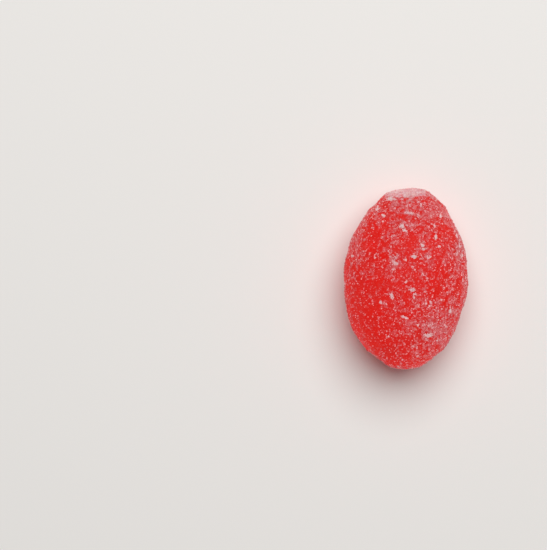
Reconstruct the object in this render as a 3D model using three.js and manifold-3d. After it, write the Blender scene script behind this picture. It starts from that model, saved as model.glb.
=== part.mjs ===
// A sugar-sanded hard candy drop: one solid piece of boiled sugar, pressed between two mould rollers,
// snapped off its neighbour at one end and tumbled in sugar while it was still tacky.
//
// Millimetres. +X runs across the drop, +Y along it to the snapped end, +Z up. The origin is on the
// surface that the drop rests on, under the middle of its box.

import * as THREE from 'three';
import { mergeVertices } from 'three/addons/utils/BufferGeometryUtils.js';
import { ImprovedNoise } from 'three/addons/math/ImprovedNoise.js';
import Module from 'manifold-3d';

const wasm = await Module();
wasm.setup();

// ---- Driving dimensions. Directions and places are taken from the middle of the widest section. ----

// The pressed drop, before its end was snapped off.
const HALF_WIDTH = 8.42;
const HALF_LENGTH = 12.62;
const UPPER_HEIGHT = 7.75;
const LOWER_DEPTH = 7.6;

// How full each quarter of the plan outline is: 2 is an ellipse, less is leaner, more is fuller.
const FULLNESS = { snappedRight: 1.8, snappedLeft: 1.71, tipLeft: 2.02, tipRight: 2.1 };
const QUARTER_BLEND = 0.35;

// The snapped end: a flat break that leans back, so that it also faces up a little.
const BREAK_DISTANCE = 11.42;
const BREAK_TURN = THREE.MathUtils.degToRad(7);
const BREAK_LEAN = THREE.MathUtils.degToRad(15);
const BREAK_EDGE_RADIUS = 0.12;
const BREAK_LEAST_FACING = 0.2;

// The worn line where the two halves of the mould met. Its height swings about the mean share along it.
const SEAM_HEIGHT = 0.13;
const SEAM_MEAN_SHARE = 0.6;
const SEAM_HALF_WIDTH = 0.55;
const SEAM_LIFT = 0.25;
const SEAM_WEAR_LENGTH = 3.1;

// Shallow hollows in the sides: the direction that each one faces, its depth and its reach in radians.
const HOLLOWS = [
  { facing: new THREE.Vector3(0.64, 0.77, 0.1), depth: 0.22, reach: 0.11 },
  { facing: new THREE.Vector3(-0.46, 0.88, 0.12), depth: 0.2, reach: 0.12 },
  { facing: new THREE.Vector3(-0.31, -0.95, 0), depth: 0.24, reach: 0.16 },
  { facing: new THREE.Vector3(0.88, -0.47, 0.05), depth: 0.2, reach: 0.12 },
  { facing: new THREE.Vector3(0.35, -0.3, 0.89), depth: 0.16, reach: 0.4 },
  { facing: new THREE.Vector3(-0.5, 0.35, 0.8), depth: 0.14, reach: 0.35 },
];

// Unevenness of the surface, coarse to fine: how high it swings and over what length.
const RELIEF = [
  { height: 0.2, length: 5.2, offset: 17.3 },
  { height: 0.16, length: 2.1, offset: 41.9 },
  { height: 0.2, length: 1.05, offset: 83.1 },
];

// Triangles along each edge of the sphere that the core starts from, less one.
const CORE_DETAIL = 15;

// The flat spot that the drop rests on is this far above the lowest point of the round underside.
const FLAT_SPOT_CUT = 0.34;
const FLAT_SPOT_BOX = 30;

// Caked sugar on the upper side: its place across and along, its size across and along, and its grains.
const CAKES = [
  { at: [-0.64, 6.9], size: [0.9, 0.5], grains: 4 },
  { at: [-0.3, 6.1], size: [0.8, 0.35], grains: 2 },
  { at: [2.34, 4.13], size: [0.8, 0.75], grains: 4 },
  { at: [1.04, 2.69], size: [0.7, 0.6], grains: 3 },
  { at: [1.38, -2.29], size: [0.65, 1.75], grains: 6 },
  { at: [-3.04, -4.08], size: [0.55, 0.5], grains: 2 },
  { at: [-1.62, -3.03], size: [0.8, 0.85], grains: 4 },
  { at: [6.39, -4.5], size: [0.5, 0.6], grains: 2 },
  { at: [3.62, -7.97], size: [1.65, 0.8], grains: 6 },
  { at: [4.04, 5.38], size: [0.5, 0.9], grains: 4 },
  { at: [4.5, 8.05], size: [0.45, 1], grains: 3 },
  { at: [-2.37, 10.1], size: [1.6, 0.8], grains: 5 },
  { at: [0.26, 8.53], size: [1.45, 0.55], grains: 5 },
  { at: [-1.53, 1.19], size: [1.1, 1.5], grains: 5 },
];
const CAKE_GRAIN = { least: 0.4, most: 0.54 };

// Single sugar grains, spread evenly over the whole drop down to just above the flat spot.
const GRAIN_COUNT = 140;
const GRAIN = { least: 0.36, most: 0.58 };
const GRAIN_FLOOR_CLEARANCE = 1.1;

// How far a single grain may stray from its place on the spiral: a share of the step along, and radians.
const GRAIN_STRAY_ALONG = 0.4;
const GRAIN_STRAY_AROUND = 0.3;

// A grain is a small block: its sides are shorter than its size by up to the first share, and its middle
// lies below the surface by the second share of its size.
const GRAIN_UNEVENNESS = 0.35;
const GRAIN_SINK = 0.12;

const GOLDEN_ANGLE = Math.PI * (3 - Math.sqrt(5));
const SEED = 20;

// ---- Shape of the core ----

const noise = new ImprovedNoise();

// 0 on the negative side of an axis, 1 on the positive side, and a soft change between them.
function side(value) {
  return 0.5 * (1 + value / Math.hypot(value, QUARTER_BLEND));
}

function softMinimum(a, b, radius) {
  return -radius * Math.log(Math.exp(-a / radius) + Math.exp(-b / radius));
}

// How far the pressed drop reaches along a unit direction.
function pressedReach(direction) {
  const right = side(direction.x);
  const snapped = side(direction.y);
  const fullness =
    FULLNESS.snappedRight * right * snapped +
    FULLNESS.snappedLeft * (1 - right) * snapped +
    FULLNESS.tipLeft * (1 - right) * (1 - snapped) +
    FULLNESS.tipRight * right * (1 - snapped);
  const halfHeight = THREE.MathUtils.lerp(LOWER_DEPTH, UPPER_HEIGHT, side(direction.z));
  const around = Math.hypot(direction.x / HALF_WIDTH, direction.z / halfHeight);
  const along = Math.abs(direction.y / HALF_LENGTH);
  return Math.pow(Math.pow(around, fullness) + Math.pow(along, fullness), -1 / fullness);
}

const breakNormal = new THREE.Vector3(
  -Math.sin(BREAK_TURN) * Math.cos(BREAK_LEAN),
  Math.cos(BREAK_TURN) * Math.cos(BREAK_LEAN),
  Math.sin(BREAK_LEAN),
);

// The pressed drop with its end broken off; the edge of the break is rounded.
function brokenReach(direction) {
  const reach = pressedReach(direction);
  const facing = direction.dot(breakNormal);
  if (facing < BREAK_LEAST_FACING) return reach;
  return softMinimum(reach, BREAK_DISTANCE / facing, BREAK_EDGE_RADIUS);
}

function hollowDepth(direction) {
  let depth = 0;
  for (const hollow of HOLLOWS) {
    const angle = direction.angleTo(hollow.facing);
    depth += hollow.depth * Math.exp(-((angle / hollow.reach) ** 2));
  }
  return depth;
}

function seamHeight(point) {
  const swing = noise.noise(point.x / SEAM_WEAR_LENGTH, point.y / SEAM_WEAR_LENGTH, 0);
  const profile = Math.exp(-(((point.z - SEAM_LIFT) / SEAM_HALF_WIDTH) ** 2));
  return SEAM_HEIGHT * (SEAM_MEAN_SHARE + swing) * profile;
}

function reliefHeight(point) {
  let height = 0;
  for (const { height: swing, length, offset } of RELIEF) {
    height += swing * noise.noise(point.x / length + offset, point.y / length, point.z / length);
  }
  return height;
}

// The point of the core's surface that lies in a direction.
function surfacePoint(direction) {
  const unit = direction.clone().normalize();
  const smooth = unit.clone().multiplyScalar(brokenReach(unit));
  const reach = smooth.length() - hollowDepth(unit) + seamHeight(smooth) + reliefHeight(smooth);
  return unit.multiplyScalar(reach);
}

// The core's vertices start evenly spread over a sphere and keep that spread on the longer drop.
function coreGeometry() {
  const geometry = new THREE.IcosahedronGeometry(1, CORE_DETAIL);
  const places = geometry.attributes.position;
  const stretch = new THREE.Vector3(HALF_WIDTH, HALF_LENGTH, UPPER_HEIGHT);
  const direction = new THREE.Vector3();
  for (let i = 0; i < places.count; i += 1) {
    direction.fromBufferAttribute(places, i).multiply(stretch);
    const point = surfacePoint(direction);
    places.setXYZ(i, point.x, point.y, point.z);
  }
  return geometry;
}

// ---- Sugar grains ----

THREE.MathUtils.seededRandom(SEED);

function randomBetween(low, high) {
  return THREE.MathUtils.lerp(low, high, THREE.MathUtils.seededRandom());
}

// One grain: a block-shaped crystal with uneven sides, turned at random and a little over half sunk.
function grainGeometry(direction, { least, most }) {
  const size = randomBetween(least, most);
  const sides = [0, 1, 2].map(() => size * randomBetween(1 - GRAIN_UNEVENNESS, 1));
  const geometry = new THREE.BoxGeometry(...sides);
  geometry.rotateX(randomBetween(0, Math.PI));
  geometry.rotateY(randomBetween(0, Math.PI));
  geometry.rotateZ(randomBetween(0, Math.PI));
  const centre = surfacePoint(direction);
  centre.setLength(centre.length() - GRAIN_SINK * size);
  geometry.translate(centre.x, centre.y, centre.z);
  return geometry;
}

// The direction of the point of the upper side that lies above a place in plan.
function directionAbove(x, y) {
  const share = (x / HALF_WIDTH) ** 2 + (y / HALF_LENGTH) ** 2;
  return new THREE.Vector3(x, y, UPPER_HEIGHT * Math.sqrt(1 - share));
}

// A cake of sugar: grains spread over an ellipse, from its middle outwards.
function cakeGrains({ at, size, grains }) {
  const geometries = [];
  for (let i = 0; i < grains; i += 1) {
    const share = Math.sqrt((i + 0.5) / grains);
    const x = at[0] + 0.5 * size[0] * share * Math.cos(i * GOLDEN_ANGLE);
    const y = at[1] + 0.5 * size[1] * share * Math.sin(i * GOLDEN_ANGLE);
    geometries.push(grainGeometry(directionAbove(x, y), CAKE_GRAIN));
  }
  return geometries;
}

// Single grains on a spiral that covers the whole drop evenly, each moved a little off it.
function singleGrains() {
  const geometries = [];
  for (let i = 0; i < GRAIN_COUNT; i += 1) {
    const step = i + 0.5 + randomBetween(-GRAIN_STRAY_ALONG, GRAIN_STRAY_ALONG);
    const along = 1 - (2 * step) / GRAIN_COUNT;
    const around = i * GOLDEN_ANGLE + randomBetween(-GRAIN_STRAY_AROUND, GRAIN_STRAY_AROUND);
    const ring = Math.sqrt(1 - along ** 2);
    const direction = new THREE.Vector3(
      HALF_WIDTH * ring * Math.cos(around),
      HALF_LENGTH * along,
      UPPER_HEIGHT * ring * Math.sin(around),
    );
    if (surfacePoint(direction).z < GRAIN_FLOOR_CLEARANCE - LOWER_DEPTH) continue;
    geometries.push(grainGeometry(direction, GRAIN));
  }
  return geometries;
}

// ---- Joining and cutting ----

function toSolid(geometry) {
  geometry.deleteAttribute('normal');
  geometry.deleteAttribute('uv');
  const merged = mergeVertices(geometry);
  const mesh = new wasm.Mesh({
    numProp: 3,
    vertProperties: new Float32Array(merged.attributes.position.array),
    triVerts: new Uint32Array(merged.index.array),
  });
  return new wasm.Manifold(mesh);
}

function toGeometry(solid) {
  const mesh = solid.getMesh();
  const geometry = new THREE.BufferGeometry();
  geometry.setAttribute('position', new THREE.BufferAttribute(mesh.vertProperties, 3));
  geometry.setIndex(new THREE.BufferAttribute(mesh.triVerts, 1));
  return geometry;
}

// The skin that holds the drop's first vertex. A tiny hollow sealed in between grains has a skin of its
// own, so leaving that out fills the hollow.
function outerSkin(geometry) {
  const index = Array.from(geometry.index.array);
  const parents = Array.from({ length: geometry.attributes.position.count }, (_, i) => i);
  const rootOf = (i) => {
    let root = i;
    while (parents[root] !== root) root = parents[root];
    return root;
  };
  for (let i = 0; i < index.length; i += 3) {
    parents[rootOf(index[i + 1])] = rootOf(index[i]);
    parents[rootOf(index[i + 2])] = rootOf(index[i]);
  }
  const outer = rootOf(index[0]);
  geometry.setIndex(index.filter((vertex) => rootOf(vertex) === outer));
  return geometry;
}

// A block under the drop whose top is the plane that it rests on.
function flatSpotBlock() {
  const geometry = new THREE.BoxGeometry(FLAT_SPOT_BOX, FLAT_SPOT_BOX, FLAT_SPOT_BOX);
  geometry.translate(0, 0, FLAT_SPOT_CUT - LOWER_DEPTH - FLAT_SPOT_BOX / 2);
  return geometry;
}

function dropGeometry() {
  let solid = toSolid(coreGeometry());
  const grains = [...CAKES.flatMap(cakeGrains), ...singleGrains()];
  for (const grain of grains) solid = solid.add(toSolid(grain));
  solid = solid.subtract(toSolid(flatSpotBlock()));

  const geometry = outerSkin(toGeometry(solid));
  geometry.computeBoundingBox();
  const { min, max } = geometry.boundingBox;
  geometry.translate(-(min.x + max.x) / 2, -(min.y + max.y) / 2, -min.z);
  geometry.computeVertexNormals();
  return geometry;
}

// ---- The finished sweet ----

const sandedSugar = new THREE.MeshStandardMaterial({
  color: 0xd44646,
  roughness: 0.65,
  metalness: 0,
});

const drop = new THREE.Mesh(dropGeometry(), sandedSugar);
drop.name = 'candy_drop';

const model = new THREE.Group();
model.add(drop);

export default model;
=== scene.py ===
# A sugar-sanded hard candy drop: clear red boiled sugar under a crust of fine sugar grains.
# Metres, with lengths that are easier to read in millimetres written as a number times MM.
# +Y runs along the drop to its snapped end, +X across it, +Z up.
import math

import bmesh
import bpy
import numpy as np
from mathutils import Matrix, Vector, noise
from mathutils.bvhtree import BVHTree


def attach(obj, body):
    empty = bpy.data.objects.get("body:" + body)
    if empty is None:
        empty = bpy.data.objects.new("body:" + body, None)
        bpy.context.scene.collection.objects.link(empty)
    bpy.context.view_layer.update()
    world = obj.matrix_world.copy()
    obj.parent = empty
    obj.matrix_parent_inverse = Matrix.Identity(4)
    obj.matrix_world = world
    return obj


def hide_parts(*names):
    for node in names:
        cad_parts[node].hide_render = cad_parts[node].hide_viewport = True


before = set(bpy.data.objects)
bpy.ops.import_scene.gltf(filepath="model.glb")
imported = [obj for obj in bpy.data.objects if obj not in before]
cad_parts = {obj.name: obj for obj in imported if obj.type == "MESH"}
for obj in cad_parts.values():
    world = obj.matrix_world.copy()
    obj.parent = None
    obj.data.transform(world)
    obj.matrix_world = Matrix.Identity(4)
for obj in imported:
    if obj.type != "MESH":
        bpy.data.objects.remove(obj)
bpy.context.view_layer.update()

MM = 0.001
SEED = 20

# ---- The picture: where the drop lies in it, in pixels, and how large. ----
PICTURE_WIDTH, PICTURE_HEIGHT = 547, 550
PIXELS_PER_MM = 7.296
DROP_PIXEL = Vector((406.0, 275.85))
DROP_LEAN = math.radians(2.78)
WIDEST_MIDDLE = Vector((0.0, 0.33, 7.5)) * MM
CAMERA_DISTANCE = 450 * MM
SENSOR_WIDTH = 36

# ---- Light: places are right, up and height, from the middle of the drop. ----
KEY_PLACE, KEY_SIZE, KEY_POWER = (0.06, 0.24, 0.6), 0.6, 4.95
FILL_DISTANCE, FILL_HEIGHT, FILL_SIZE = 0.6, 0.14, 0.27
# Soft fill cards round the drop: the side each stands on, in degrees from the right, and its power.
FILL_CARDS = ((15, 0.25), (90, 0.6), (150, 0.5), (215, 0.6), (270, 1.0), (325, 1.2))
# Light from under the table for the underside of the drop, because clear red candy is lit through.
UNDER_PLACE, UNDER_SIZE, UNDER_POWER = (-0.03, -0.05, -0.3), 0.5, 2.4
SKY_STRENGTH = 0.06
LIGHT_COLOUR = (1.0, 0.99, 0.98)

# ---- The drop's skin. ----
SKIN_VOXEL = 0.134 * MM
SKIN_SMOOTHINGS, SMOOTHING_SHARE = 26, 0.5
MERGE_DISTANCE = 0.001 * MM
# Crust relief on the skin: swing and length of each layer. It fades in between these heights.
CRUST = ((0.05 * MM, 0.9 * MM), (0.04 * MM, 0.42 * MM), (0.03 * MM, 0.26 * MM))
CRUST_FADE = (0.1 * MM, 0.6 * MM)

# ---- The snapped end: the way it faces, and its distance from the middle of the drop. ----
SNAP_FACING = Vector((-0.1177, 0.9587, 0.2588))
SNAP_FROM_MIDDLE = Vector((0.0, 0.33, 7.26)) * MM
SNAP_DISTANCE = 11.42 * MM
# The pale frost begins and is full at these depths below the snapped end.
SNAP_EDGE = (0.4 * MM, 0.05 * MM)
# How far the frost runs over the edge of the end: place across and reach, in millimetres.
SNAP_REACH = (
    (-3.6, 0.0),
    (-2.8, 0.15),
    (-2.0, 0.0),
    (-1.2, -0.05),
    (0.1, 0.25),
    (0.9, 0.15),
    (1.6, -0.05),
    (2.5, 0.0),
    (3.4, 0.15),
)
# Raggedness of the frost's edge, as swing and length, and how near the end it is worked out.
SNAP_RAGS = ((0.12 * MM, 1.3 * MM), (0.36 * MM, 0.45 * MM))
SNAP_NEAR = 2 * MM

# ---- Where the sugar lies. ----
COVER_MEAN, COVER_LEAST = 0.4, 0.1
# Layers of unevenness, coarse to fine, as swing and length.
COVER_LAYERS = (
    (0.1, 4.2 * MM),
    (0.14, 1.9 * MM),
    (0.16, 0.95 * MM),
    (0.24, 0.5 * MM),
    (0.4, 0.28 * MM),
)
# Thin lines that the sugar gathers along, in the same way, and how thin they are.
COVER_VEINS = ((0.07, 1.3 * MM), (0.09, 0.7 * MM))
VEIN_THINNESS = 5
# The snapped end holds this much more sugar.
SNAP_COVER = 0.25
# The patches below belong to the upper side, and fade in between these heights.
UPPER_SIDE = (6 * MM, 9 * MM)
# Thick and thin places: place and spread, across and along in millimetres, and change of cover.
COVER_AND_SHADE_PATCHES = (
    ((-4.8, 0.2), (1.5, 5.0), -0.14),
    ((-3.5, -7.2), (2.0, 3.4), -0.17),
    ((-4.6, 5.5), (1.3, 1.6), -0.08),
    ((4.2, 0.6), (1.4, 1.9), -0.12),
    ((4.6, 5.6), (1.5, 1.6), -0.06),
    ((0.8, 10.0), (4.0, 1.2), 0.22),
    ((5.2, 8.4), (1.5, 1.6), 0.12),
    ((4.5, -7.2), (1.6, 2.8), 0.18),
    ((0.4, -1.6), (1.0, 1.8), 0.05),
    ((-1.9, 1.4), (0.9, 1.2), 0.06),
    ((7.3, 4.4), (0.6, 2.0), 0.3),
    ((-7.1, 4.8), (0.6, 1.8), 0.16),
    # Painted shade: these four thin the sugar along the left and lower-left rim, the side away from
    # the key light, so that rim stays darker red.
    ((-8.5, -0.8), (1.0, 2.6), -0.08),
    ((-7.6, -5.4), (1.1, 2.0), -0.08),
    ((-5.6, -9.2), (1.4, 1.6), -0.08),
    ((-1.0, -12.2), (3.0, 1.1), -0.08),
    ((7.9, -3.6), (0.8, 2.4), 0.14),
)

# ---- Sugar grains: how many of each kind, their sizes, how white they tend to be, and how far their
# middles lie above the skin, as a share of their size. ----
DUST = {"count": 16000, "size": (0.06 * MM, 0.11 * MM), "tint": 0.36, "lift": (-0.25, 0.15)}
GRAINS = {"count": 8000, "size": (0.1 * MM, 0.16 * MM), "tint": 0.3, "lift": (-0.25, 0.15)}
CRYSTALS = {"count": 1600, "size": (0.16 * MM, 0.27 * MM), "tint": 0.32, "lift": (-0.4, -0.05)}
# A grain's sides are between these shares of its size. A crystal's corners are worn by this share.
GRAIN_SIDES = (0.65, 1.0)
CORNER_WEAR = 0.22
# How strongly the grains and the small cakes gather where much sugar lies.
GATHERING, SMALL_CAKE_GATHERING = 1.6, 2
# Each grain on the snapped end is at least as white as a number drawn from this range.
SNAP_TINTS = (0.2, 0.75)

# Caked sugar on the upper side: place across and along and size across and along, in millimetres,
# and how thick it is.
CAKES = (
    ((0.62, -1.35), (0.5, 0.6), 0.7),
    ((1.08, -2.1), (0.35, 0.35), 1.0),
    ((0.9, -2.5), (0.3, 0.35), 1.0),
    ((1.83, 4.48), (0.5, 0.45), 1.0),
    ((2.07, 4.15), (0.5, 0.4), 1.0),
    ((-1.03, 7.1), (0.82, 0.42), 1.0),
    ((-0.79, 6.44), (0.7, 0.3), 1.0),
    ((0.69, 2.98), (0.55, 0.5), 1.0),
    ((-0.43, 2.37), (0.28, 0.35), 1.0),
    ((-0.3, -0.5), (0.32, 0.28), 1.0),
    ((3.64, 5.75), (0.45, 0.8), 0.8),
    ((4.03, 4.54), (0.45, 0.45), 0.7),
    ((4.15, 8.44), (0.32, 0.9), 0.9),
    ((3.28, 7.16), (0.3, 0.5), 0.5),
    ((2.77, 2.93), (0.4, 0.4), 0.55),
    ((1.93, 0.59), (0.5, 0.45), 0.3),
    ((6.5, 6.0), (0.3, 0.6), 0.8),
    ((6.95, 4.7), (0.3, 0.8), 0.55),
    ((7.4, 3.5), (0.3, 0.8), 0.5),
    ((1.33, 10.1), (0.32, 0.42), 0.8),
    ((-2.5, 10.72), (1.25, 0.5), 0.7),
    ((-0.09, 8.82), (1.1, 0.4), 0.5),
    ((-3.5, 8.48), (0.6, 0.55), 0.45),
    ((-4.51, 9.27), (0.5, 0.9), 0.35),
    ((-1.86, 1.94), (0.9, 0.7), 0.4),
    ((-2.06, 1.09), (0.45, 0.5), 0.35),
    ((-4.59, 2.71), (0.35, 0.6), 0.3),
    ((-7.54, 2.77), (0.4, 0.5), 0.45),
    ((-2.06, -2.62), (0.6, 0.85), 0.5),
    ((-3.43, -3.61), (0.42, 0.4), 0.9),
    ((-0.07, -5.27), (0.8, 0.5), 0.4),
    ((1.65, -6.36), (0.28, 0.42), 0.9),
    ((3.13, -3.03), (0.25, 0.42), 0.65),
    ((4.65, -2.74), (0.5, 0.3), 0.5),
    ((5.98, -4.11), (0.4, 0.65), 0.8),
    ((3.18, -7.55), (1.1, 0.65), 0.65),
)
CAKE_GRAINS_PER_MM2 = 220
CAKE_GRAIN = (0.08 * MM, 0.14 * MM)
CAKE_TINTS = (0.7, 1.0)
# A cake has lobes of about this many grains. Lobes and grains stray by these shares of its size.
GRAINS_PER_LOBE = 25
LOBE_STRAY, GRAIN_STRAY = 0.22, 0.18
# How high a cake is heaped, and how steeply it falls off from its middle.
HEAP_HEIGHT, HEAP_STEEPNESS = 0.12 * MM, 2
# Little cakes all over the drop: how many, how many grains each, how wide and how white.
SMALL_CAKES = 110
SMALL_CAKE_GRAINS = (5, 16)
SMALL_CAKE_SPREAD = 0.09 * MM
SMALL_CAKE_TINTS = (0.4, 0.85)

# ---- Where each pattern starts in the noise, and the step from one of its layers to the next. ----
COVER_START, SNAP_START, CRUST_START, VEIN_START = 11.0, 31.0, 53.0, 71.0
VEIN_STEP = 9
LAYER_STEP = (7.3, 3.1, 1.7)

# In the flat layout a grain's faces lie in the middle of its cell and reach this share of it.
CELL_MIDDLE, CELL_REACH = 0.5, 0.35
# The height that places of the upper side are sought from, and how far the table reaches each way.
ABOVE_DROP = 0.1
TABLE_REACH = 1.5

random = np.random.default_rng(SEED)


# ---------------------------------------------------------------- shader maths

class Value:
    """A shader socket that can stand in an expression: each operation adds its Math node."""

    def __init__(self, finish, socket):
        self.finish = finish
        self.socket = socket

    def maths(self, operation, first, second):
        settings = {"operation": operation}
        return self.finish.value("ShaderNodeMath", settings, {0: first, 1: second})

    def __add__(self, other):
        return self.maths("ADD", self, other)

    def __radd__(self, other):
        return self.maths("ADD", other, self)

    def __mul__(self, other):
        return self.maths("MULTIPLY", self, other)

    def __rmul__(self, other):
        return self.maths("MULTIPLY", other, self)

    def between(self, low, high):
        """0 below low, 1 above high and a soft rise between them."""
        settings = {"interpolation_type": "SMOOTHSTEP"}
        sockets = {"Value": self, "From Min": low, "From Max": high}
        return self.finish.value("ShaderNodeMapRange", settings, sockets, "Result")


class Finish:
    """A material in the making, with one Principled shader."""

    def __init__(self, name):
        self.material = bpy.data.materials.new(name)
        self.material.use_nodes = True
        self.tree = self.material.node_tree
        self.shader = self.tree.nodes["Principled BSDF"]

    def node(self, kind, settings=None, sockets=None):
        """Adds a node: its settings come first, then the values or links of its sockets."""
        node = self.tree.nodes.new(kind)
        for name, value in (settings or {}).items():
            setattr(node, name, value)
        for name, value in (sockets or {}).items():
            self.feed(node.inputs[name], value)
        return node

    def value(self, kind, settings=None, sockets=None, output=0):
        return Value(self, self.node(kind, settings, sockets).outputs[output])

    def feed(self, socket, value):
        if isinstance(value, Value):
            self.tree.links.new(value.socket, socket)
        else:
            socket.default_value = value

    def attribute(self, name):
        return self.value("ShaderNodeAttribute", {"attribute_name": name}, output="Fac")

    def place(self):
        return self.value("ShaderNodeTexCoord", output="Object")

    def noise(self, length, detail=2.0, roughness=0.5):
        sockets = {"Vector": self.place(), "Scale": 1 / length, "Detail": detail}
        sockets["Roughness"] = roughness
        return self.value("ShaderNodeTexNoise", sockets=sockets, output="Fac")

    def blend(self, share, first, second):
        """A colour from first, where share is 0, to second, where it is 1."""
        node = self.node("ShaderNodeMix", {"data_type": "RGBA"}, {"Factor": share})
        colours = [socket for socket in node.inputs if socket.type == "RGBA"]
        self.feed(colours[0], first)
        self.feed(colours[1], second)
        output = [socket for socket in node.outputs if socket.type == "RGBA"][0]
        return Value(self, output)

    def bump(self, height, distance, strength=1.0):
        sockets = {"Height": height, "Distance": distance, "Strength": strength}
        return self.value("ShaderNodeBump", sockets=sockets, output="Normal")

    def shade(self, **sockets):
        """Sets the shader's sockets; an underscore in a name stands for a space."""
        for name, value in sockets.items():
            self.feed(self.shader.inputs[name.replace("_", " ")], value)
        return self.material


# ---------------------------------------------------------------- finishes

CANDY_RED = (0.615, 0.0085, 0.0035, 1)
FROST_PINK = (0.62, 0.14, 0.155, 1)
SNAP_ROSE = (0.68, 0.2, 0.23, 1)
SNAP_WHITE = (0.76, 0.6, 0.59, 1)
GRAIN_RED = (0.565, 0.048, 0.056, 1)
GRAIN_WHITE = (0.75, 0.63, 0.65, 1)
TABLE_CREAM = (0.82, 0.805, 0.785, 1)

# Lengths of the speckle in the frost, of the fine dusting and of the mottle of the snapped end.
SPECKLE, DUSTING, MOTTLE = 0.2 * MM, 0.13 * MM, 0.6 * MM
SPECKLE_RELIEF = 0.03 * MM
# How much the sugar that lies there and the speckle count towards the frost, and where it sets in.
SUGAR_SHARE, SPECKLE_SHARE = 1.2, 0.8
FROST_RANGE, DUSTING_RANGE, MOTTLE_RANGE = (0.75, 1.5), (0.42, 0.78), (0.3, 0.68)
DUSTING_SHARE = 0.3


def boiled_sugar():
    """Clear red candy, frosted where sugar dust has bonded to it, and palest on the snapped end."""
    finish = Finish("boiled_sugar")
    sugar = finish.attribute("sugar")
    snapped = finish.attribute("snapped")
    speckle = finish.noise(SPECKLE, detail=3.0, roughness=0.65)
    frost = (sugar * SUGAR_SHARE + speckle * SPECKLE_SHARE).between(*FROST_RANGE)
    dusting = finish.noise(DUSTING, detail=2.0, roughness=0.6).between(*DUSTING_RANGE)
    sanded = finish.blend(frost + dusting * DUSTING_SHARE, CANDY_RED, FROST_PINK)
    mottle = finish.noise(MOTTLE, detail=3.0, roughness=0.6).between(*MOTTLE_RANGE)
    broken = finish.blend(mottle, SNAP_ROSE, SNAP_WHITE)
    return finish.shade(
        Base_Color=finish.blend(snapped, sanded, broken),
        Roughness=0.6,
        Normal=finish.bump(speckle, SPECKLE_RELIEF),
        Specular_IOR_Level=0.1,
        Subsurface_Weight=1.0,
        Subsurface_Radius=(30.0, 0.4, 0.3),
        Subsurface_Scale=1 * MM,
    )


def sugar_grain():
    """Sugar crystals, from those that the red shows through to frosted white ones."""
    finish = Finish("sugar_grain")
    return finish.shade(
        Base_Color=finish.blend(finish.attribute("tint"), GRAIN_RED, GRAIN_WHITE),
        Roughness=0.35,
        Specular_IOR_Level=0.4,
        Subsurface_Weight=1.0,
        Subsurface_Radius=(0.25, 0.25, 0.25),
        Subsurface_Scale=0.2 * MM,
    )


def pale_table():
    """A plain pale dull table top."""
    return Finish("pale_table").shade(Base_Color=TABLE_CREAM, Roughness=0.9)


# ---------------------------------------------------------------- the skin of the drop

def add_object(name, mesh, material):
    piece = bpy.data.objects.new(name, mesh)
    mesh.materials.clear()
    mesh.materials.append(material)
    bpy.context.scene.collection.objects.link(piece)
    return piece


def applied(piece):
    """Applies the piece's modifiers."""
    graph = bpy.context.evaluated_depsgraph_get()
    finished = bpy.data.meshes.new_from_object(piece.evaluated_get(graph))
    piece.modifiers.clear()
    old = piece.data
    piece.data = finished
    bpy.data.meshes.remove(old)


def vertex_numbers(collection, name):
    """The places or normals of a mesh's vertices, as rows of three numbers."""
    numbers = np.empty(len(collection) * 3, np.float32)
    collection.foreach_get(name, numbers)
    return numbers.reshape(-1, 3).astype(float)


def layered(points, layers, start):
    """Sums layers of noise, each given as its swing and length, at every point."""
    total = np.zeros(len(points))
    x, y, z = LAYER_STEP
    for number, (swing, length) in enumerate(layers):
        offset = Vector((start + x * number, y * number, z * number))
        values = [noise.noise(Vector(point) + offset) for point in points / length]
        total += swing * np.array(values)
    return total


def rise(values, low, high):
    """0 below low, 1 above high and a soft rise between them."""
    share = np.clip((values - low) / (high - low), 0, 1)
    return share * share * (3 - 2 * share)


def snapped_share(points):
    """1 on the snapped end and 0 elsewhere."""
    beyond = (points - np.array(SNAP_FROM_MIDDLE)) @ np.array(SNAP_FACING) - SNAP_DISTANCE
    near = beyond > -SNAP_NEAR
    across, reach = np.array(SNAP_REACH).T * MM
    rags = layered(points[near], SNAP_RAGS, SNAP_START)
    beyond[near] += np.interp(points[near, 0], across, reach) + rags
    return rise(beyond, -SNAP_EDGE[0], -SNAP_EDGE[1])


def sugar_cover(points):
    """How much sugar lies at each point, about 0 to 1; the lower-left rim is thinned as painted
    shade.
    """
    cover = COVER_MEAN + layered(points, COVER_LAYERS, COVER_START)
    for number, (swing, length) in enumerate(COVER_VEINS):
        away = np.abs(layered(points, ((1.0, length),), VEIN_START + VEIN_STEP * number))
        cover += swing * (1 - VEIN_THINNESS * away)
    upper = rise(points[:, 2], *UPPER_SIDE)
    for (x, y), (across, along), change in COVER_AND_SHADE_PATCHES:
        aside = (points[:, 0] / MM - x) / across
        ahead = (points[:, 1] / MM - y) / along
        cover += change * upper * np.exp(-0.5 * (aside * aside + ahead * ahead))
    return np.clip(cover + SNAP_COVER * snapped_share(points), COVER_LEAST, 1)


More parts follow.
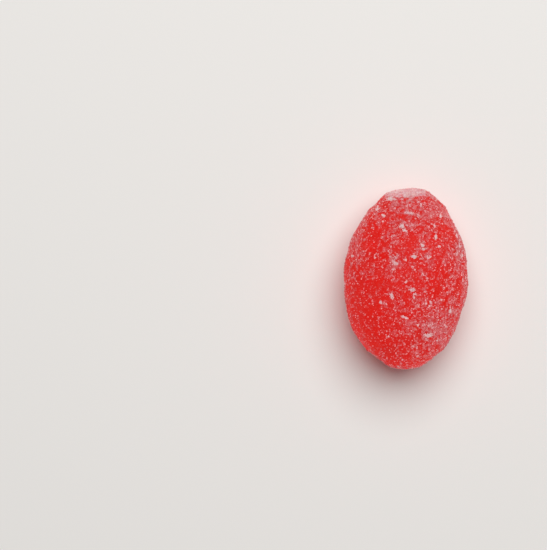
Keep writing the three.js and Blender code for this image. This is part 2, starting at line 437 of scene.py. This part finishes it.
def drop_skin():
    """The CAD solid in small even faces, with its fused grains smoothed off and a crusty relief."""
    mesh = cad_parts["candy_drop"].data.copy()
    shape = bmesh.new()
    shape.from_mesh(mesh)
    bmesh.ops.remove_doubles(shape, verts=shape.verts, dist=MERGE_DISTANCE)
    shape.to_mesh(mesh)
    shape.free()
    skin = add_object("candy_skin", mesh, boiled_sugar())
    remesh = skin.modifiers.new("even_faces", "REMESH")
    remesh.mode = "VOXEL"
    remesh.voxel_size = SKIN_VOXEL
    applied(skin)

    shape = bmesh.new()
    shape.from_mesh(skin.data)
    for _ in range(SKIN_SMOOTHINGS):
        bmesh.ops.smooth_vert(
            shape,
            verts=shape.verts,
            factor=SMOOTHING_SHARE,
            use_axis_x=True,
            use_axis_y=True,
            use_axis_z=True,
        )
    shape.to_mesh(skin.data)
    shape.free()

    points = vertex_numbers(skin.data.vertices, "co")
    normals = vertex_numbers(skin.data.vertex_normals, "vector")
    crust = layered(points, CRUST, CRUST_START)
    above_table = rise(points[:, 2], *CRUST_FADE)
    points += normals * (crust * above_table)[:, None]
    points[:, 2] = np.maximum(points[:, 2], 0)
    skin.data.vertices.foreach_set("co", points.astype(np.float32).ravel())
    for name, share in (("sugar", sugar_cover(points)), ("snapped", snapped_share(points))):
        attribute = skin.data.attributes.new(name, "FLOAT", "POINT")
        attribute.data.foreach_set("value", share.astype(np.float32))
    skin.data.update()
    for polygon in skin.data.polygons:
        polygon.use_smooth = True
    return skin


# ---------------------------------------------------------------- sugar grains

def block():
    """A plain block crystal, one unit across."""
    shape = bmesh.new()
    bmesh.ops.create_cube(shape, size=1.0)
    return outline_of(shape)


def bevelled_block():
    """A block crystal with its corners worn off."""
    shape = bmesh.new()
    bmesh.ops.create_cube(shape, size=1.0)
    bmesh.ops.bevel(
        shape,
        geom=shape.verts[:],
        offset=CORNER_WEAR,
        affect="VERTICES",
        segments=1,
        profile=0.5,
        material=-1,
    )
    return outline_of(shape)


def outline_of(shape):
    """The corners of a small shape, and the corner numbers of each of its faces."""
    shape.verts.ensure_lookup_table()
    corners = np.array([vertex.co[:] for vertex in shape.verts])
    faces = [[vertex.index for vertex in face.verts] for face in shape.faces]
    shape.free()
    return corners, faces


def random_turns(count):
    """Evenly spread random rotations, as matrices."""
    q = random.normal(size=(count, 4))
    q /= np.linalg.norm(q, axis=1)[:, None]
    w, x, y, z = q.T
    rows = (
        (1 - 2 * (y * y + z * z), 2 * (x * y - z * w), 2 * (x * z + y * w)),
        (2 * (x * y + z * w), 1 - 2 * (x * x + z * z), 2 * (y * z - x * w)),
        (2 * (x * z - y * w), 2 * (y * z + x * w), 1 - 2 * (x * x + y * y)),
    )
    return np.moveaxis(np.array(rows), 2, 0)


def joined_grains(name, outline, centres, sizes, tints, material):
    """One mesh of many grains of one shape, each with its own size, turn, tint and place."""
    corners, faces = outline
    count = len(centres)
    sides = random.uniform(*GRAIN_SIDES, (count, 1, 3)) * sizes[:, None, None]
    local = corners[None] * sides
    places = np.einsum("nij,nkj->nki", random_turns(count), local) + centres[:, None]
    places[..., 2] = np.maximum(places[..., 2], 0)
    starts = (np.arange(count) * len(corners))[:, None]
    loops = (np.concatenate([np.array(face) for face in faces])[None] + starts).ravel()
    lengths = np.tile([len(face) for face in faces], count)

    mesh = bpy.data.meshes.new(name)
    mesh.vertices.add(count * len(corners))
    mesh.vertices.foreach_set("co", places.astype(np.float32).ravel())
    mesh.loops.add(len(loops))
    mesh.loops.foreach_set("vertex_index", loops.astype(np.int32))
    mesh.polygons.add(len(lengths))
    loop_starts = np.concatenate([[0], np.cumsum(lengths)[:-1]])
    mesh.polygons.foreach_set("loop_start", loop_starts.astype(np.int32))
    mesh.update(calc_edges=True)
    tint = mesh.attributes.new("tint", "FLOAT", "FACE")
    tint.data.foreach_set("value", np.repeat(tints, len(faces)).astype(np.float32))
    lay_out(mesh, count, faces)
    mesh.validate()
    return add_object(name, mesh, material)


def lay_out(mesh, count, faces):
    """A flat layout with a cell for each grain, as a grain has one colour all over."""
    cells = math.ceil(math.sqrt(count))
    corners = []
    for face in faces:
        turns = 2 * math.pi * np.arange(len(face)) / len(face)
        corners.append(CELL_MIDDLE + CELL_REACH * np.stack([np.cos(turns), np.sin(turns)], axis=1))
    corners = np.concatenate(corners)
    numbers = np.arange(count)
    starts = np.stack([numbers % cells, numbers // cells], axis=1)
    places = (starts[:, None] + corners[None]) / cells
    layout = mesh.uv_layers.new(name="OFBake")
    layout.data.foreach_set("uv", places.astype(np.float32).ravel())


class Skin:
    """The drop's skin as triangles, to lay grains on."""

    def __init__(self, piece):
        mesh = piece.data
        mesh.calc_loop_triangles()
        corners = np.empty(len(mesh.loop_triangles) * 3, np.int32)
        mesh.loop_triangles.foreach_get("vertices", corners)
        self.points = vertex_numbers(mesh.vertices, "co")
        self.corners = corners.reshape(-1, 3)
        a, b, c = (self.points[self.corners[:, i]] for i in range(3))
        cross = np.cross(b - a, c - a)
        self.areas = np.linalg.norm(cross, axis=1)
        self.normals = cross / self.areas[:, None]
        self.tree = BVHTree.FromPolygons(self.points.tolist(), self.corners.tolist())

    def scatter(self, count, keep):
        """Random points of the skin with their normals, kept where keep(points) allows."""
        found_points, found_normals, found = [], [], 0
        chances = self.areas / self.areas.sum()
        while found < count:
            picks = random.choice(len(self.areas), count, p=chances)
            u, v = random.random((2, count))
            folded = u + v > 1
            u[folded], v[folded] = 1 - u[folded], 1 - v[folded]
            a, b, c = (self.points[self.corners[picks, i]] for i in range(3))
            points = a + u[:, None] * (b - a) + v[:, None] * (c - a)
            kept = random.random(count) < keep(points)
            found_points.append(points[kept])
            found_normals.append(self.normals[picks][kept])
            found += kept.sum()
        return np.concatenate(found_points)[:count], np.concatenate(found_normals)[:count]

    def below(self, x, y):
        """The point of the upper side below a place in plan, and its normal."""
        point, normal, _, _ = self.tree.ray_cast(Vector((x, y, ABOVE_DROP)), Vector((0, 0, -1)))
        return point, normal


def scattered(skin, name, outline, kind, material):
    """Grains of one kind all over the drop, more of them where more sugar lies."""
    count = kind["count"]
    points, normals = skin.scatter(count, lambda places: sugar_cover(places) ** GATHERING)
    sizes = random.uniform(*kind["size"], count)
    centres = points + normals * (sizes * random.uniform(*kind["lift"], count))[:, None]
    tints = random.random(count) ** (1 / kind["tint"])
    tints = np.maximum(tints, snapped_share(points) * random.uniform(*SNAP_TINTS, count))
    return joined_grains(name, outline, centres, sizes, tints, material)


def heap(skin, x, y, across, along, number):
    """Places of grains heaped in a ragged patch, thickest in its middle."""
    centres = []
    lobes = random.normal(0, LOBE_STRAY, (max(2, number // GRAINS_PER_LOBE), 2))
    for _ in range(number):
        lobe = lobes[random.integers(len(lobes))]
        aside, ahead = lobe + random.normal(0, GRAIN_STRAY, 2)
        point, normal = skin.below((x + across * aside) * MM, (y + along * ahead) * MM)
        if point is not None:
            depth = max(0.0, 1 - HEAP_STEEPNESS * math.hypot(aside, ahead))
            lift = HEAP_HEIGHT * depth * random.random()
            centres.append(np.array(point) + np.array(normal) * lift)
    return centres


def cake_grains(skin, material):
    """Cakes of dust-fine sugar, heaped a few grains deep, and many little ones all over."""
    centres = []
    for (x, y), (across, along), thickness in CAKES:
        number = int(CAKE_GRAINS_PER_MM2 * across * along * thickness)
        centres += heap(skin, x, y, across, along, number)
    caked = len(centres)
    points, normals = skin.scatter(
        SMALL_CAKES, lambda places: sugar_cover(places) ** SMALL_CAKE_GATHERING
    )
    for point, normal in zip(points, normals, strict=True):
        number = random.integers(*SMALL_CAKE_GRAINS)
        spread = random.normal(0, SMALL_CAKE_SPREAD, (number, 3))
        spread -= np.outer(spread @ normal, normal)
        centres += list(point + spread)
    cake_tints = random.uniform(*CAKE_TINTS, caked)
    tints = np.append(cake_tints, random.uniform(*SMALL_CAKE_TINTS, len(centres) - caked))
    centres = np.array(centres)
    sizes = random.uniform(*CAKE_GRAIN, len(centres))
    return joined_grains("sugar_cakes", block(), centres, sizes, tints, material)


# ---------------------------------------------------------------- camera, light and table

def turned(x, y):
    """A direction given in the picture, right and up, as the drop's own axes have it."""
    return Matrix.Rotation(DROP_LEAN, 2) @ Vector((x, y))


def add_camera():
    data = bpy.data.cameras.new("camera")
    data.sensor_width = SENSOR_WIDTH
    data.lens = SENSOR_WIDTH * PIXELS_PER_MM * CAMERA_DISTANCE / MM / PICTURE_HEIGHT
    camera = bpy.data.objects.new("camera", data)
    right = (PICTURE_WIDTH / 2 - DROP_PIXEL.x) / PIXELS_PER_MM * MM
    up = (DROP_PIXEL.y - PICTURE_HEIGHT / 2) / PIXELS_PER_MM * MM
    aside = turned(right, up)
    camera.location = WIDEST_MIDDLE + Vector((aside.x, aside.y, CAMERA_DISTANCE))
    camera.rotation_euler = (0, 0, DROP_LEAN)
    bpy.context.scene.collection.objects.link(camera)
    bpy.context.scene.camera = camera


def add_light(name, place, size, power):
    """A soft round light, its place given as right and up in the picture and height."""
    data = bpy.data.lights.new(name, "AREA")
    data.shape = "DISK"
    data.size = size
    data.energy = power
    data.color = LIGHT_COLOUR
    light = bpy.data.objects.new(name, data)
    right, up, height = place
    aside = turned(right, up)
    light.location = (aside.x, aside.y, height)
    light.rotation_euler = light.location.to_track_quat("Z", "Y").to_euler()
    bpy.context.scene.collection.objects.link(light)
    return light


def add_fill(pieces):
    """Low cards and a light from below. They reach the drop alone, not its shadow on the table, and
    have no reflections of their own."""
    lit = bpy.data.collections.new("lit_by_fill")
    for piece in pieces:
        lit.objects.link(piece)
    for number, (side, power) in enumerate(FILL_CARDS):
        angle = math.radians(side)
        right, up = FILL_DISTANCE * math.cos(angle), FILL_DISTANCE * math.sin(angle)
        card = add_light(f"fill_card_{number}", (right, up, FILL_HEIGHT), FILL_SIZE, power)
        card.light_linking.receiver_collection = lit
        card.visible_glossy = False
    under = add_light("under_light", UNDER_PLACE, UNDER_SIZE, UNDER_POWER)
    under.light_linking.receiver_collection = lit
    under.light_linking.blocker_collection = lit
    under.visible_glossy = False


def add_table():
    shape = bmesh.new()
    bmesh.ops.create_grid(shape, x_segments=1, y_segments=1, size=TABLE_REACH)
    mesh = bpy.data.meshes.new("table_top")
    shape.to_mesh(mesh)
    shape.free()
    return add_object("table_top", mesh, pale_table())


def add_sky():
    world = bpy.data.worlds.new("studio")
    world.use_nodes = True
    background = world.node_tree.nodes["Background"]
    background.inputs["Strength"].default_value = SKY_STRENGTH
    background.inputs["Color"].default_value = (*LIGHT_COLOUR, 1)
    bpy.context.scene.world = world


# ---------------------------------------------------------------- the whole scene

add_camera()
add_light("soft_key", KEY_PLACE, KEY_SIZE, KEY_POWER)
add_sky()
bpy.context.scene.view_settings.view_transform = "Standard"

skin_piece = drop_skin()
skin = Skin(skin_piece)
grain_finish = sugar_grain()
dust = scattered(skin, "sugar_dust", block(), DUST, grain_finish)
grains = scattered(skin, "sugar_grains", block(), GRAINS, grain_finish)
crystals = scattered(skin, "sugar_crystals", bevelled_block(), CRYSTALS, grain_finish)
cakes = cake_grains(skin, grain_finish)

pieces = (skin_piece, dust, grains, crystals, cakes)
add_fill(pieces)
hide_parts("candy_drop")
for piece in pieces:
    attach(piece, "root")
add_table()
